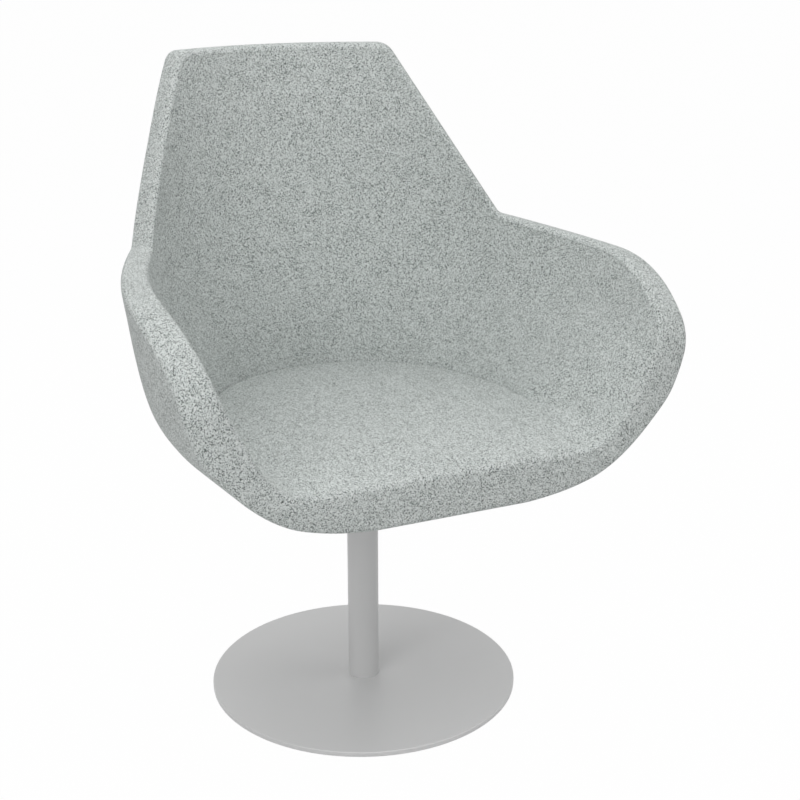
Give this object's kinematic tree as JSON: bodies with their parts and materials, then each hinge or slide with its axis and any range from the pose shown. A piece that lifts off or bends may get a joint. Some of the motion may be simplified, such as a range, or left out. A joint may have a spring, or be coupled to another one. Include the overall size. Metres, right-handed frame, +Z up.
{
  "type": "pedestal swivel armchair",
  "caption": "Upholstered bucket armchair with a tapering back and rounded arms, turning on a slim round column that stands on a flat disc.",
  "frame": {"origin": "centre of the disc's underside, on the floor and on the swivel axis", "axes": "+Z up along the column, -Y the way the sitter faces with the seat at rest, +X to the right of a viewer in front of the chair"},
  "size_m": [0.716, 0.6222, 0.905],
  "materials": {
    "melange_fabric": "woven melange wool, pale grey with dark flecks",
    "silver_paint": "satin silver-grey powder coat",
    "foam": "open-cell moulded foam, hidden",
    "moulded_shell": "moulded shell, hidden",
    "plywood": "plywood, hidden",
    "black_steel": "black powder coat",
    "bright_steel": "zinc-plated steel",
    "bush_nylon": "natural nylon",
    "trim_plastic": "black moulded plastic",
    "floor_felt": "dark grey felt"
  },
  "bodies": {
    "base": {"base_plate": "silver_paint", "floor_pad": "floor_felt", "column_tube": "silver_paint", "column_plug": "bright_steel", "base_screws": "bright_steel", "upper_bush": "bush_nylon", "lower_bush": "bush_nylon", "thrust_race_lower": "bright_steel", "ball_cage": "bush_nylon", "thrust_balls": "bright_steel"},
    "seat": {"thrust_race_upper": "bright_steel", "spindle": "bright_steel", "spindle_clip": "bright_steel", "end_washer": "bright_steel", "swivel_hub": "black_steel", "hub_gussets": "black_steel", "mounting_plate": "black_steel", "plate_bolts": "bright_steel", "plate_washers": "bright_steel", "tee_nuts": "bright_steel", "spacer_board": "plywood", "trim_ring": "trim_plastic", "structural_shell": "moulded_shell", "outer_foam": "foam", "outside_cover": "melange_fabric", "inner_foam": "foam", "inside_cover": "melange_fabric", "border": "melange_fabric", "seat_foam": "foam", "seat_cover": "melange_fabric"}
  },
  "joints": [
    {"name": "swivel", "type": "hinge", "parent": "base", "child": "seat", "pos_m": [0, 0, 0.32], "axis": [0, 0, 1], "continuous": true}
  ]
}
